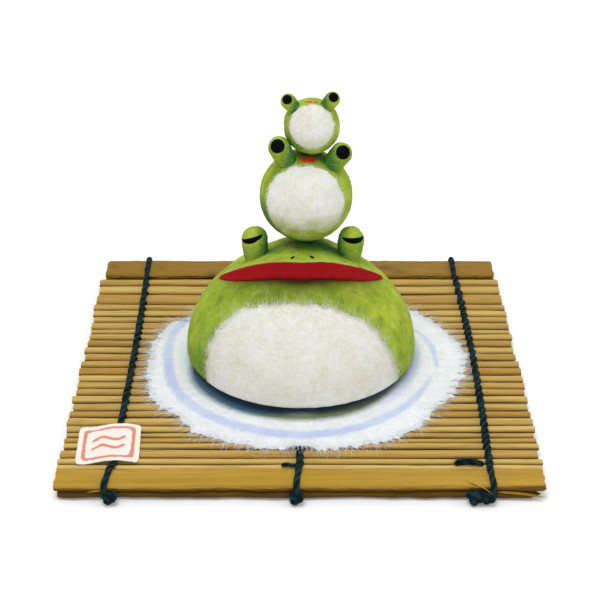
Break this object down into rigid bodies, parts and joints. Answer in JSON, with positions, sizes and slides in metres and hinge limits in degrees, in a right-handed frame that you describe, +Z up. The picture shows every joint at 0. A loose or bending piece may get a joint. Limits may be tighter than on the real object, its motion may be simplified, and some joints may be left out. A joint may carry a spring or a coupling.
{
  "type": "paper frog stack ornament",
  "caption": "Shelf ornament of papered frogs stacked by size on a torn paper pond, glued to a small twined mat of split bamboo with a blank paper label.",
  "frame": {"origin": "middle of the mat's footprint, on the surface that it lies on", "axes": "+X to the frogs' left, which is the viewer's right, along the slats; +Y to the back; +Z up"},
  "size_m": [0.1613, 0.1577, 0.1073],
  "materials": {
    "bamboo_slats": "split bamboo, bare, satin skin",
    "bamboo_battens": "split bamboo, stained golden, satin",
    "cotton_cord": "dyed cotton twine, matte",
    "pond_paper": "long-fibred mulberry paper, torn, painted with thin washes",
    "label_paper": "smooth pale paper with a printed border",
    "green_paper": "mulberry paper glued over paper clay, green wash, matte",
    "white_paper": "long-fibred mulberry paper, unpainted, matte",
    "red_paper": "red paper, matte",
    "red_paint": "brushed matte paint",
    "black_paint": "brushed satin paint"
  },
  "bodies": {
    "root": {"slat_field": "bamboo_slats", "front_batten_lower": "bamboo_battens", "front_batten_upper": "bamboo_battens", "back_batten_lower": "bamboo_battens", "back_batten_upper": "bamboo_battens", "cord_left": "cotton_cord", "cord_centre": "cotton_cord", "cord_right": "cotton_cord", "pond_paper": "pond_paper", "paper_label": "label_paper", "large_frog_body": "green_paper", "large_frog_belly_paper": "white_paper", "large_frog_mouth_paper": "red_paper", "large_frog_eye_left": "green_paper", "large_frog_eye_right": "green_paper", "large_frog_pupils": "black_paint", "middle_frog_body": "green_paper", "middle_frog_belly_paper": "white_paper", "middle_frog_mouth": "red_paint", "middle_frog_eye_left": "green_paper", "middle_frog_eye_right": "green_paper", "middle_frog_pupils": "black_paint", "small_frog_body": "green_paper", "small_frog_belly_paper": "white_paper", "small_frog_mouth": "red_paint", "small_frog_eye_left": "green_paper", "small_frog_eye_right": "green_paper", "small_frog_pupils": "black_paint"}
  },
  "joints": []
}
